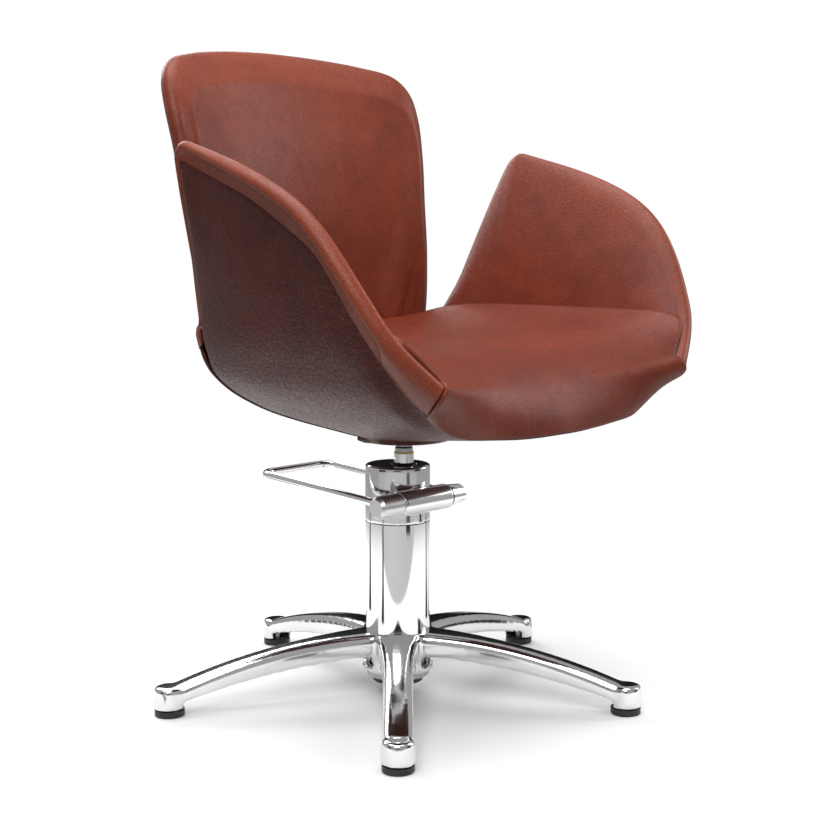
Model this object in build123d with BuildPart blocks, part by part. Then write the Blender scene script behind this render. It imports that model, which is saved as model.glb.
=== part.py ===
from build123d import *
from math import cos, pi, sin
import os

# Styling chair: five-leg base, hydraulic pump with foot pedal, upholstered tulip shell.
# Millimetres, +Z up, the chair faces -Y, the origin is on the floor under its middle.

# ---- driving dimensions ----
COLUMN_Y = -14.0          # axis of the column
ROD_Y = COLUMN_Y - 11.0   # the ram stands off the column axis
SHAFT_Y = COLUMN_Y - 50.0  # axis of the pedal shaft
SHAFT_Z = 252.0

FOOT_CIRCLE = 288.0       # radius to the centres of the feet
FOOT_RADIUS = 20.0
FIRST_LEG = 225.0         # direction of the first leg, degrees
GLIDE_HEIGHT = 8.0
HUB_RADIUS = 45.0
HUB_TOP = 83.0
LEG_WALL = 5.0

COLUMN_RADIUS = 40.0
HEAD_BOTTOM = 220.0
HEAD_TOP = 291.0
RESERVOIR_RADIUS = 33.0
CYLINDER_RADIUS = 17.0
BORE_RADIUS = 14.0
PUMP_BOTTOM = 18.0

RAM_RADIUS = 12.0
RAM_TOP = 305.0
PISTON_BOTTOM = 50.0
SPINDLE_RADIUS = 9.5
JOURNAL_RADIUS = 7.0
SOCKET_BOTTOM = 328.0
SOCKET_TOP = 368.0
SOCKET_RADIUS = 17.0
PLATE_SIDE = 116.0
PLATE_THICK = 4.0
BOLT_SPAN = 88.0
BOLT_RADIUS = 3.0
PLATE_TOP = 345.0
FLOOR_BOTTOM = 345.0      # underside of the shell core's flat floor
SLIDE_GAP = 0.03          # radial clearance of running fits

SHAFT_RADIUS = 6.0
HOUSING_RADIUS = 15.5
HOUSING_LEFT = -50.0
HOUSING_RIGHT = 33.0
LOOP_LEFT = -66.0
LOOP_RIGHT = 50.0
LOOP_BAR = 4.8
LOOP_REACH = 233.0
LOOP_TILT = 3.3
ARM_START = 8.0           # the loop's bar starts this far behind the shaft's axis
SCREW_RADIUS = 2.0
PIN_RADIUS = 1.5

LEVER_ROOM = 9.0          # half width of the slot that the lever moves in
LEVER_LENGTH = 15.0
LEVER_SWINGS = [-25, -12, 0, 10]   # degrees of the pedal, its limits first and last
PLUNGER_RADIUS = 4.0
PLUNGER_Y = COLUMN_Y - 35.5
PLUNGER_TOP = 246.0
PLUNGER_BOTTOM = 232.0
SPRING_BOTTOM = 222.0
FILLER_X = 20.0
FILLER_Y = COLUMN_Y + 22.0

COVER = 10.0              # outer padding
CORE = 8.0                # moulded shell
PAD = 16.0                # inner padding
THICK = COVER + CORE + PAD
RIM = 30.0                # width of the rolled rims
SEAT_TOP = 443.0
FRONT_ROLL_TOP = 400.0    # the arm rims end here and the seat's rolled front begins
BACK_RADIUS = 450.0
BACK_FOOT_Z = 452.0
BACK_TOP_Z = 800.0
BACK_THICK = 38.0
BACK_SPREAD = 32.0        # half angle of the back in plan, degrees
BACK_CORNER_Z = 690.0     # the sides turn in to the top above this height
CORE_REACH = 12.0         # the core's back runs this far down into the bucket
FAR = 700.0               # well outside the shell, for cutting blocks

# outlines of the bucket's outside, each from its middle outwards
BOWL_FRONT = [
    (0, 320), (56, 327), (122, 349), (196, 381), (236, 416),
    (258, 460), (276, 540), (288, 610), (298, 700),
]
BOWL_SIDE = [
    (-700, 400), (-243, 352), (-120, 337), (0, 320), (70, 328),
    (130, 357), (176, 398), (207, 452), (222, 520),
]
BOWL_PLAN = [
    (0, 207), (80, 197), (146, 166), (200, 122), (246, 96),
    (284, 50), (296, -60), (297, -240), (297, -700),
]
# the arm's top edge and its rear edge seen from the side, as (distance behind the ram, height)
CREST = [
    (-246, 300), (-243, 352), (-235, 400), (-222, 455), (-206, 512),
    (-172, 572), (-125, 612), (-40, 643), (66, 669),
]
ARM_REAR = [(122, BACK_FOOT_Z), (108, 505), (95, 578), (74, 652), (56, 700)]
# outline of the back seen from the front, and how far it leans back with height
BACK_SIDE = [
    (190, BACK_FOOT_Z), (190, 490), (194, 545), (199, 610), (205, 675),
    (209, 725), (201, 760), (165, 781), (0, BACK_TOP_Z),
]
BACK_LEAN = [(0, BACK_FOOT_Z - 12), (7, 544), (17, 608), (28, 671), (49, 745), (68, BACK_TOP_Z + 15)]

BACK_AXIS_Y = ROD_Y + 188 - BACK_RADIUS
PAD_DEPTH = BACK_THICK - COVER - CORE

os.makedirs("parts", exist_ok=True)


def save(piece, name):
    """Label a finished piece and write it"""
    piece.part.label = name
    export_step(piece.part, f"parts/{name}.step")


def ring(y, low, high, outer, inner=0.0):
    """Upright tube or disc on an axis at this y"""
    with BuildPart() as piece:
        with BuildSketch(Plane.XY.offset(low)):
            with Locations((0, y)):
                Circle(outer)
                if inner:
                    Circle(inner, mode=Mode.SUBTRACT)
        extrude(amount=high - low)
    return piece


def turned(y, outline):
    """Solid turned about the upright axis at this y, from (radius, height) points"""
    with BuildPart() as piece:
        with BuildSketch(Plane.XZ.offset(-y)):
            with BuildLine():
                Polyline(*outline, close=True)
            make_face()
        revolve(axis=Axis((0, y, 0), (0, 0, 1)))
    return piece


def cross_turned(outline):
    """Solid turned about the pedal shaft's axis, from (x, radius) points"""
    with BuildPart() as piece:
        with BuildSketch(Plane.XY.offset(SHAFT_Z)):
            with BuildLine():
                Polyline(*[(x, SHAFT_Y + radius) for x, radius in outline], close=True)
            make_face()
        revolve(axis=Axis((0, SHAFT_Y, SHAFT_Z), (1, 0, 0)))
    return piece


def foot_place(index):
    """Centre of one foot on the floor"""
    angle = (FIRST_LEG + 72 * index) * pi / 180
    return (FOOT_CIRCLE * cos(angle), COLUMN_Y + FOOT_CIRCLE * sin(angle))


# ---- star base ----
def leg_body(shrink):
    """One leg along +X from the hub; shrink gives the hollow that is cut from below"""
    top = HUB_TOP - shrink
    with BuildPart() as leg:
        with BuildSketch(Plane.XZ):
            with BuildLine():
                ThreePointArc((30, top), (165, 69 - shrink), (FOOT_CIRCLE, 34 - shrink))
                Line((FOOT_CIRCLE, 34 - shrink), (FOOT_CIRCLE, 14 - 3 * shrink))
                ThreePointArc((FOOT_CIRCLE, 14 - 3 * shrink), (165, 42 - 3 * shrink), (30, 55 - 3 * shrink))
                Line((30, 55 - 3 * shrink), (30, top))
            make_face()
        extrude(amount=30, both=True)
        with BuildSketch(Plane.XY):
            with BuildLine():
                half_widths = [(30, 27), (70, 22), (140, 18), (FOOT_CIRCLE, 17)]
                outline = [(x, half - shrink) for x, half in half_widths]
                upper = Spline(*outline)
                lower = Spline(*[(x, -y) for x, y in outline])
                Line(upper @ 0, lower @ 0)
                Line(upper @ 1, lower @ 1)
            make_face()
        extrude(amount=HUB_TOP + 10, mode=Mode.INTERSECT)
        if not shrink:
            top_edges = leg.faces().sort_by(Axis.Z)[-1].edges().filter_by(Axis.Y, reverse=True)
            fillet(top_edges, 9)
    return leg


leg_outside = leg_body(0)
leg_inside = leg_body(LEG_WALL)

with BuildPart() as star_base:
    with BuildSketch(Plane.XY.offset(32)):
        with Locations((0, COLUMN_Y)):
            Circle(HUB_RADIUS)
    extrude(amount=HUB_TOP - 32)
    with Locations((0, COLUMN_Y, 0)):
        with PolarLocations(0, 5, start_angle=FIRST_LEG):
            add(leg_outside.part)
    with BuildSketch(Plane.XY.offset(GLIDE_HEIGHT)):
        with Locations((0, COLUMN_Y)):
            with PolarLocations(FOOT_CIRCLE, 5, start_angle=FIRST_LEG):
                Circle(FOOT_RADIUS)
    extrude(amount=28, taper=4)
    with Locations((0, COLUMN_Y, 0)):
        with PolarLocations(0, 5, start_angle=FIRST_LEG):
            add(leg_inside.part, mode=Mode.SUBTRACT)
    with BuildSketch(Plane.XY.offset(20)):
        with Locations((0, COLUMN_Y)):
            Circle(RESERVOIR_RADIUS)
    extrude(amount=HUB_TOP, mode=Mode.SUBTRACT)
    with BuildSketch(Plane.XY.offset(GLIDE_HEIGHT)):
        with Locations((0, COLUMN_Y)):
            with PolarLocations(FOOT_CIRCLE, 5, start_angle=FIRST_LEG):
                Circle(4)
    extrude(amount=14, mode=Mode.SUBTRACT)
save(star_base, "star_base")

# ---- feet ----
for index in range(5):
    foot_x, foot_y = foot_place(index)
    with BuildPart() as glide:
        with BuildSketch(Plane.XY):
            with Locations((foot_x, foot_y)):
                Circle(FOOT_RADIUS - 2)
        extrude(amount=GLIDE_HEIGHT)
        chamfer(glide.faces().sort_by(Axis.Z)[0].edges(), 1.5)
        with BuildSketch(Plane.XY.offset(GLIDE_HEIGHT - 4)):
            with Locations((foot_x, foot_y)):
                Circle(4)
        extrude(amount=4, mode=Mode.SUBTRACT)
    save(glide, f"foot_glide_{index + 1}")

with BuildPart() as glide_studs:
    with BuildSketch(Plane.XY.offset(GLIDE_HEIGHT - 4)):
        with Locations((0, COLUMN_Y)):
            with PolarLocations(FOOT_CIRCLE, 5, start_angle=FIRST_LEG):
                Circle(4)
    extrude(amount=17)
save(glide_studs, "glide_studs")

# ---- pump, fixed in the hub ----
save(ring(COLUMN_Y, PUMP_BOTTOM, 30, 31, 0), "pump_bottom_cap")
save(ring(COLUMN_Y, 32 - 6, 32, 39, RESERVOIR_RADIUS), "hub_nut")
save(ring(COLUMN_Y, HUB_TOP, HEAD_BOTTOM, COLUMN_RADIUS, COLUMN_RADIUS - 2), "column_tube")
save(ring(COLUMN_Y, 30, HEAD_BOTTOM, RESERVOIR_RADIUS, RESERVOIR_RADIUS - 3), "reservoir_tube")
save(ring(ROD_Y, 44, HEAD_BOTTOM, CYLINDER_RADIUS, BORE_RADIUS), "cylinder_tube")

with BuildPart() as valve_block:
    with BuildSketch(Plane.XY.offset(30)):
        with Locations((0, COLUMN_Y)):
            Circle(RESERVOIR_RADIUS - 3)
    extrude(amount=14)
    with BuildSketch(Plane.XY.offset(34)):
        with Locations((18, COLUMN_Y), (-18, COLUMN_Y)):
            Circle(4)
    extrude(amount=10, mode=Mode.SUBTRACT)
save(valve_block, "valve_block")

with BuildPart() as valve_balls:
    with Locations((18, COLUMN_Y, 38), (-18, COLUMN_Y, 38)):
        Sphere(3.9)
save(valve_balls, "valve_balls")

with BuildPart() as pump_head:
    with BuildSketch(Plane.XY.offset(HEAD_BOTTOM)):
        with Locations((0, COLUMN_Y)):
            Circle(COLUMN_RADIUS)
    extrude(amount=HEAD_TOP - HEAD_BOTTOM)
    fillet(pump_head.faces().sort_by(Axis.Z)[-1].edges(), 3)
    with BuildSketch(Plane.YZ.offset(HOUSING_LEFT)):
        with Locations((SHAFT_Y, SHAFT_Z)):
            Circle(HOUSING_RADIUS)
    extrude(amount=HOUSING_RIGHT - HOUSING_LEFT)
    with BuildSketch(Plane.YZ.offset(HOUSING_LEFT)):
        with Locations((SHAFT_Y, SHAFT_Z)):
            Circle(SHAFT_RADIUS + 2)
    extrude(amount=HOUSING_RIGHT - HOUSING_LEFT, mode=Mode.SUBTRACT)
    with BuildSketch(Plane.YZ):
        with Locations((SHAFT_Y, SHAFT_Z)):
            Circle(HOUSING_RADIUS - 3)
        for swing in LEVER_SWINGS:
            with Locations(Location((SHAFT_Y, SHAFT_Z, 0), (0, 0, swing))):
                with Locations(((LEVER_LENGTH + 1.2) / 2, -1)):
                    Rectangle(LEVER_LENGTH + 1.2, 9.6)
    extrude(amount=LEVER_ROOM, both=True, mode=Mode.SUBTRACT)
    with BuildSketch(Plane.XY.offset(HEAD_BOTTOM)):
        with Locations((0, ROD_Y)):
            Circle(RAM_RADIUS + 3)
    extrude(amount=HEAD_TOP - HEAD_BOTTOM, mode=Mode.SUBTRACT)
    with BuildSketch(Plane.XY.offset(SPRING_BOTTOM)):
        with Locations((0, PLUNGER_Y)):
            Circle(PLUNGER_RADIUS + SLIDE_GAP)
    extrude(amount=SHAFT_Z - SPRING_BOTTOM, mode=Mode.SUBTRACT)
    with BuildSketch(Plane.XY.offset(HEAD_TOP - 5)):
        with Locations((FILLER_X, FILLER_Y)):
            Circle(4)
    extrude(amount=5, mode=Mode.SUBTRACT)
save(pump_head, "pump_head")

save(ring(ROD_Y, HEAD_BOTTOM, HEAD_TOP - 10, RAM_RADIUS + 3, RAM_RADIUS + SLIDE_GAP), "guide_bush")
save(ring(ROD_Y, HEAD_TOP - 10, HEAD_TOP - 4, RAM_RADIUS + 3, RAM_RADIUS + SLIDE_GAP), "rod_seal")
wiper_outline = [
    (RAM_RADIUS + SLIDE_GAP, HEAD_TOP - 4),
    (RAM_RADIUS + 3, HEAD_TOP - 4),
    (RAM_RADIUS + 3, HEAD_TOP + 1),
    (RAM_RADIUS + SLIDE_GAP, HEAD_TOP + 3),
]
save(turned(ROD_Y, wiper_outline), "rod_wiper")

with BuildPart() as filler_screw:
    with BuildSketch(Plane.XY.offset(HEAD_TOP - 5)):
        with Locations((FILLER_X, FILLER_Y)):
            Circle(4)
    extrude(amount=6)
    with BuildSketch(Plane.XY.offset(HEAD_TOP - 1)):
        with Locations((FILLER_X, FILLER_Y)):
            RegularPolygon(2.2, 6)
    extrude(amount=2, mode=Mode.SUBTRACT)
save(filler_screw, "filler_screw")

with BuildPart() as shaft_bushes:
    for low, high in ((HOUSING_LEFT, -LEVER_ROOM - 2), (LEVER_ROOM + 2, HOUSING_RIGHT)):
        with BuildSketch(Plane.YZ.offset(low)):
            with Locations((SHAFT_Y, SHAFT_Z)):
                Circle(SHAFT_RADIUS + 2)
                Circle(SHAFT_RADIUS + SLIDE_GAP, mode=Mode.SUBTRACT)
        extrude(amount=high - low)
save(shaft_bushes, "shaft_bushes")

with BuildPart() as shaft_ring:
    with BuildSketch(Plane.YZ.offset(HOUSING_RIGHT)):
        with Locations((SHAFT_Y, SHAFT_Z)):
            Circle(13)
            Circle(SHAFT_RADIUS + 0.3, mode=Mode.SUBTRACT)
    extrude(amount=2)
save(shaft_ring, "shaft_ring")

# ---- pedal ----
with BuildPart() as cross_shaft:
    with BuildSketch(Plane.YZ.offset(LOOP_LEFT)):
        with Locations((SHAFT_Y, SHAFT_Z)):
            Circle(SHAFT_RADIUS)
    extrude(amount=LOOP_RIGHT - LOOP_LEFT)
    with BuildSketch(Plane.XY.offset(SHAFT_Z - SHAFT_RADIUS)):
        with Locations((0, SHAFT_Y)):
            Circle(PIN_RADIUS)
    extrude(amount=2 * SHAFT_RADIUS, mode=Mode.SUBTRACT)
save(cross_shaft, "cross_shaft")

with BuildPart() as pump_lever:
    with BuildSketch(Plane.YZ):
        with Locations((SHAFT_Y, SHAFT_Z)):
            Circle(9.5)
        with Locations((SHAFT_Y + LEVER_LENGTH / 2, SHAFT_Z - 1)):
            Rectangle(LEVER_LENGTH, 8)
        with Locations((SHAFT_Y, SHAFT_Z)):
            Circle(SHAFT_RADIUS, mode=Mode.SUBTRACT)
    extrude(amount=LEVER_ROOM - 1.5, both=True)
    with BuildSketch(Plane.XY.offset(SHAFT_Z - 10)):
        with Locations((0, SHAFT_Y)):
            Circle(PIN_RADIUS)
    extrude(amount=20, mode=Mode.SUBTRACT)
save(pump_lever, "pump_lever")

save(ring(SHAFT_Y, SHAFT_Z - 9.3, SHAFT_Z + 9.3, PIN_RADIUS), "lever_pin")

loop_up = sin(LOOP_TILT * pi / 180)
loop_back = cos(LOOP_TILT * pi / 180)
loop_plane = Plane(
    origin=(0, SHAFT_Y, SHAFT_Z),
    x_dir=(1, 0, 0),
    z_dir=(0, -loop_up, loop_back),
)

with BuildPart() as pedal_loop:
    with BuildLine(loop_plane) as loop_path:
        FilletPolyline(
            (LOOP_LEFT, ARM_START),
            (LOOP_LEFT, LOOP_REACH),
            (LOOP_RIGHT, LOOP_REACH),
            (LOOP_RIGHT, ARM_START),
            radius=18,
        )
    with BuildSketch(Plane(origin=loop_path.line @ 0, z_dir=loop_path.line % 0)):
        Circle(LOOP_BAR)
    sweep()
save(pedal_loop, "pedal_loop")

hub_outline = [
    (LOOP_LEFT - 21, 0),
    (LOOP_LEFT - 21, 10.5),
    (LOOP_LEFT - 17, 14),
    (HOUSING_LEFT - 0.8, 14.5),
    (HOUSING_LEFT - 0.8, 0),
]
knob_outline = [
    (HOUSING_RIGHT + 2.2, 0),
    (HOUSING_RIGHT + 2.2, 14),
    (HOUSING_RIGHT + 24, 12.4),
    (HOUSING_RIGHT + 28, 9),
    (HOUSING_RIGHT + 28, 0),
]


def shaft_hub(outline, loop_x):
    """Turned hub with a bore for the shaft, a hole for the pedal bar and one for its screw"""
    blank = cross_turned(outline)
    with BuildPart() as hub:
        add(blank.part)
        add(cross_shaft.part, mode=Mode.SUBTRACT)
        add(pedal_loop.part, mode=Mode.SUBTRACT)
        with BuildSketch(Plane.XY.offset(SHAFT_Z - 14)):
            with Locations((loop_x, SHAFT_Y)):
                Circle(SCREW_RADIUS)
        extrude(amount=14 - SHAFT_RADIUS, mode=Mode.SUBTRACT)
    return hub


save(shaft_hub(hub_outline, LOOP_LEFT + 4), "pedal_hub")
save(shaft_hub(knob_outline, LOOP_RIGHT - 4), "pedal_knob")

with BuildPart() as hub_screws:
    with BuildSketch(Plane.XY.offset(SHAFT_Z - 12.5)):
        with Locations((LOOP_LEFT + 4, SHAFT_Y), (LOOP_RIGHT - 4, SHAFT_Y)):
            Circle(SCREW_RADIUS)
    extrude(amount=12.5 - SHAFT_RADIUS)
save(hub_screws, "hub_screws")

# ---- plunger ----
save(ring(PLUNGER_Y, PLUNGER_BOTTOM, PLUNGER_TOP, PLUNGER_RADIUS), "pump_plunger")

with BuildPart() as plunger_spring:
    with BuildLine() as coil:
        Helix(2.3, PLUNGER_BOTTOM - SPRING_BOTTOM - 1.6, 2.6, center=(0, PLUNGER_Y, SPRING_BOTTOM + 0.8))
    with BuildSketch(Plane(origin=coil.line @ 0, z_dir=coil.line % 0)):
        Circle(0.5)
    sweep(is_frenet=True)
save(plunger_spring, "plunger_spring")

# ---- ram, slides in the pump ----
with BuildPart() as ram:
    with BuildSketch(Plane.XY.offset(PISTON_BOTTOM + 4)):
        with Locations((0, ROD_Y)):
            Circle(RAM_RADIUS)
    extrude(amount=RAM_TOP - PISTON_BOTTOM - 4)
    with BuildSketch(Plane.XY.offset(RAM_TOP - 62)):
        with Locations((0, ROD_Y)):
            Circle(JOURNAL_RADIUS + 2)
    extrude(amount=62, mode=Mode.SUBTRACT)
    with BuildSketch(Plane.XY.offset(PISTON_BOTTOM + 4)):
        with Locations((0, ROD_Y)):
            Circle(5)
    extrude(amount=20, mode=Mode.SUBTRACT)
save(ram, "ram")

piston_outline = [
    (0, PISTON_BOTTOM),
    (BORE_RADIUS - SLIDE_GAP, PISTON_BOTTOM),
    (BORE_RADIUS - SLIDE_GAP, PISTON_BOTTOM + 1.5),
    (BORE_RADIUS - 2.5, PISTON_BOTTOM + 1.5),
    (BORE_RADIUS - 2.5, PISTON_BOTTOM + 4),
    (5, PISTON_BOTTOM + 4),
    (5, PISTON_BOTTOM + 22),
    (0, PISTON_BOTTOM + 22),
]
save(turned(ROD_Y, piston_outline), "piston")
piston_seal = ring(ROD_Y, PISTON_BOTTOM + 1.5, PISTON_BOTTOM + 4, BORE_RADIUS - SLIDE_GAP, BORE_RADIUS - 2.5)
save(piston_seal, "piston_seal")
save(ring(ROD_Y, RAM_TOP - 62, RAM_TOP, JOURNAL_RADIUS + 2, JOURNAL_RADIUS + SLIDE_GAP), "spindle_bush")
save(ring(ROD_Y, RAM_TOP, RAM_TOP + 2, RAM_RADIUS, JOURNAL_RADIUS + 0.3), "thrust_washer")

# ---- spindle and seat plate, turn on the ram ----
spindle_outline = [
    (0, RAM_TOP - 60),
    (JOURNAL_RADIUS, RAM_TOP - 60),
    (JOURNAL_RADIUS, RAM_TOP + 2),
    (SPINDLE_RADIUS + 1.5, RAM_TOP + 2),
    (SPINDLE_RADIUS + 1.5, RAM_TOP + 7),
    (SPINDLE_RADIUS, RAM_TOP + 9),
    (SPINDLE_RADIUS, SOCKET_BOTTOM),
    (SPINDLE_RADIUS - 1.5, SOCKET_TOP - 4),
    (0, SOCKET_TOP - 4),
]
save(turned(ROD_Y, spindle_outline), "spindle")

socket_outline = [
    (SPINDLE_RADIUS, SOCKET_BOTTOM),
    (SOCKET_RADIUS, SOCKET_BOTTOM),
    (SOCKET_RADIUS, SOCKET_TOP),
    (0, SOCKET_TOP),
    (0, SOCKET_TOP - 4),
    (SPINDLE_RADIUS - 1.5, SOCKET_TOP - 4),
]
save(turned(ROD_Y, socket_outline), "taper_socket")

with BuildPart() as seat_plate:
    with BuildSketch(Plane.XY.offset(PLATE_TOP - PLATE_THICK)):
        with Locations((0, ROD_Y)):
            RectangleRounded(PLATE_SIDE, PLATE_SIDE, 14)
            Circle(SOCKET_RADIUS, mode=Mode.SUBTRACT)
            with GridLocations(BOLT_SPAN, BOLT_SPAN, 2, 2):
                Circle(BOLT_RADIUS, mode=Mode.SUBTRACT)
    extrude(amount=PLATE_THICK)
save(seat_plate, "seat_plate")

with BuildPart() as plate_bolts:
    with BuildSketch(Plane.XY.offset(PLATE_TOP - PLATE_THICK - 3)):
        with Locations((0, ROD_Y)):
            with GridLocations(BOLT_SPAN, BOLT_SPAN, 2, 2):
                RegularPolygon(5.5, 6)
    extrude(amount=3)
    with BuildSketch(Plane.XY.offset(PLATE_TOP - PLATE_THICK)):
        with Locations((0, ROD_Y)):
            with GridLocations(BOLT_SPAN, BOLT_SPAN, 2, 2):
                Circle(BOLT_RADIUS)
    extrude(amount=CORE + 6)
save(plate_bolts, "plate_bolts")

with BuildPart() as tee_nuts:
    with BuildSketch(Plane.XY.offset(FLOOR_BOTTOM + CORE)):
        with Locations((0, ROD_Y)):
            with GridLocations(BOLT_SPAN, BOLT_SPAN, 2, 2):
                Circle(3 * BOLT_RADIUS)
                Circle(BOLT_RADIUS, mode=Mode.SUBTRACT)
    extrude(amount=4)
save(tee_nuts, "tee_nuts")

# ---- upholstered shell ----
def drawn_in(points, inset):
    """The same outline moved to its left by inset"""
    moved = []
    for index, (x, y) in enumerate(points):
        before = points[max(index - 1, 0)]
        after = points[min(index + 1, len(points) - 1)]
        run, rise = after[0] - before[0], after[1] - before[1]
        length = (run * run + rise * rise) ** 0.5
        moved.append((x - inset * rise / length, y + inset * run / length))
    return moved


def bowl_body(inset):
    """The closed bucket, drawn in by inset: what its front, side and plan outlines all hold"""
    front = [(max(x, 0), z) for x, z in drawn_in(BOWL_FRONT, inset)]
    front[0] = (0, BOWL_FRONT[0][1] + inset)
    plan = [(max(x, 0), y) for x, y in drawn_in(BOWL_PLAN, -inset)]
    plan[0] = (0, BOWL_PLAN[0][1] - inset)
    side = drawn_in(BOWL_SIDE, inset)
    with BuildPart() as body:
        with BuildSketch(Plane.XZ):
            with BuildLine():
                right = Spline(*front)
                left = Spline(*[(-x, z) for x, z in front])
                Line(right @ 1, left @ 1)
            make_face()
        extrude(amount=FAR, both=True)
        with BuildSketch(Plane.YZ):
            with BuildLine():
                under = Spline(*[(ROD_Y + y, z) for y, z in side])
                Polyline(under @ 1, (under @ 1 + (30, 400)), (-FAR - 100, 900), under @ 0)
            make_face()
        extrude(amount=FAR, both=True, mode=Mode.INTERSECT)
        with BuildSketch(Plane.XY.offset(200)):
            with BuildLine():
                right = Spline(*[(x, ROD_Y + y) for x, y in plan])
                left = Spline(*[(-x, ROD_Y + y) for x, y in plan])
                Line(right @ 1, left @ 1)
            make_face()
        extrude(amount=FAR, mode=Mode.INTERSECT)
    return body


outer_bowl = bowl_body(0)
cover_bowl = bowl_body(COVER)
core_bowl = bowl_body(COVER + CORE)
pad_bowl = bowl_body(THICK)


def below_crest(inset):
    """Block of everything under the arm crest and behind the front edge, drawn in by inset"""
    crest_points = drawn_in(CREST, -inset)
    crest_points[0] = (CREST[0][0] + inset, 100)
    crest_points.append((crest_points[-1][0] + FAR, crest_points[-1][1] + 260))
    with BuildPart() as block:
        with BuildSketch(Plane.YZ):
            with BuildLine():
                crest = Spline(*[(ROD_Y + y, z) for y, z in crest_points])
                Polyline(crest @ 1, (2 * FAR, 50), (ROD_Y + crest_points[0][0], 50), crest @ 0)
            make_face()
        extrude(amount=FAR, both=True)
    return block


def behind_arms():
    """Block of the open notch and everything behind the arms' rear edges"""
    with BuildPart() as block:
        with BuildSketch(Plane.YZ):
            with BuildLine():
                edge = Spline(*[(ROD_Y + y, z) for y, z in ARM_REAR])
                Polyline(edge @ 1, (FAR, 700), (FAR, BACK_FOOT_Z), edge @ 0)
            make_face()
        extrude(amount=FAR, both=True)
    return block


def below_seat_top():
    """Block of everything under the seat's top and its rolled front"""
    with BuildPart() as block:
        with BuildSketch(Plane.YZ):
            with BuildLine():
                top = Line((FAR, SEAT_TOP), (ROD_Y - 135, SEAT_TOP))
                roll = ThreePointArc(top @ 1, (ROD_Y - 212, 414), (ROD_Y - 243, 354))
                Polyline(roll @ 1, (ROD_Y - 243, 100), (FAR, 100), top @ 0)
            make_face()
        extrude(amount=FAR, both=True)
    return block


def slab(low, high):
    """Level block between two heights"""
    with BuildPart() as block:
        with BuildSketch(Plane.XY.offset(low)):
            Rectangle(2 * FAR, 2 * FAR)
        extrude(amount=high - low)
    return block


def combine(first, keep_in=(), cut_away=()):
    """First piece, limited to some others and cut by the rest"""
    with BuildPart() as piece:
        add(first.part)
        for other in keep_in:
            add(other.part, mode=Mode.INTERSECT)
        for other in cut_away:
            add(other.part, mode=Mode.SUBTRACT)
    return piece


def side_of(whole, keep):
    """One half of a piece that spans the middle"""
    with BuildPart() as piece:
        add(whole.part)
        split(bisect_by=Plane.YZ, keep=keep)
    return piece


inside_front = below_crest(0)
inside_rims = below_crest(RIM)
notch = behind_arms()
seat_space = below_seat_top()
core_floor = slab(FLOOR_BOTTOM, 900)
cushion_floor = slab(FLOOR_BOTTOM + CORE, 900)
rims_above = slab(FRONT_ROLL_TOP, 900)
seat_above = slab(SEAT_TOP, 900)
roll_below = slab(200, FRONT_ROLL_TOP)


# the back: layers turned about an upright axis in front of it, cut to the outline

def back_layer(front, rear, low):
    """Curved layer of the back between two depths measured from its front face"""
    half_spread = BACK_SPREAD * pi / 180
    sheet = Plane(
        origin=(0, BACK_AXIS_Y, 0),
        x_dir=(sin(half_spread), cos(half_spread), 0),
        z_dir=(cos(half_spread), -sin(half_spread), 0),
    )
    with BuildPart() as layer:
        with BuildSketch(sheet):
            with BuildLine():
                base = BACK_RADIUS - BACK_THICK / 2
                front_line = Spline(*[(base + front + lean, z) for lean, z in BACK_LEAN])
                rear_line = Spline(*[(base + rear + lean, z) for lean, z in BACK_LEAN])
                Line(front_line @ 0, rear_line @ 0)
                Line(front_line @ 1, rear_line @ 1)
            make_face()
        revolve(axis=Axis((0, BACK_AXIS_Y, 0), (0, 0, 1)), revolution_arc=2 * BACK_SPREAD)
        add(slab(low, 900).part, mode=Mode.INTERSECT)
    return layer


def back_outline(inset):
    """Block with the back's front outline, drawn in by inset at its sides and its top"""
    points = []
    for x, z in BACK_SIDE:
        topness = max(z - BACK_CORNER_Z, 0) / (BACK_TOP_Z - BACK_CORNER_Z)
        points.append((max(x - inset * (1 - topness * topness), 0), z - inset * topness))
    with BuildPart() as block:
        with BuildSketch(Plane.XZ):
            with BuildLine():
                right = Spline(*points, tangents=((0, 1), (-1, 0)))
                left = Spline(*[(-x, z) for x, z in points], tangents=((0, 1), (1, 0)))
                Polyline(left @ 0, (-points[0][0], 300), (points[0][0], 300), right @ 0)
            make_face()
        extrude(amount=FAR, both=True)
    return block


back_shape = back_outline(0)
back_panel = back_outline(RIM)

bucket_core = combine(
    cover_bowl,
    keep_in=(inside_rims, core_floor),
    cut_away=(combine(core_bowl, keep_in=(cushion_floor,)), notch),
)
back_core = combine(back_layer(PAD_DEPTH, PAD_DEPTH + CORE, BACK_FOOT_Z - CORE_REACH), keep_in=(back_panel,))

with BuildPart() as shell_core:
    add(bucket_core.part)
    add(back_core.part)
    with BuildSketch(Plane.XY.offset(FLOOR_BOTTOM)):
        with Locations((0, ROD_Y)):
            Circle(SOCKET_RADIUS)
            with GridLocations(BOLT_SPAN, BOLT_SPAN, 2, 2):
                Circle(BOLT_RADIUS)
    extrude(amount=CORE, mode=Mode.SUBTRACT)
save(shell_core, "shell_core")

core_well = ring(ROD_Y, 300, SOCKET_TOP, 20)
seat_cushion = combine(
    core_bowl,
    keep_in=(cushion_floor, seat_space, inside_rims),
    cut_away=(core_well, tee_nuts, plate_bolts, shell_core, seat_above),
)
save(seat_cushion, "seat_cushion")

arm_pads = combine(core_bowl, keep_in=(inside_rims, seat_above), cut_away=(pad_bowl, notch, shell_core))
save(side_of(arm_pads, Keep.TOP), "arm_pad_left")
save(side_of(arm_pads, Keep.BOTTOM), "arm_pad_right")

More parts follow.
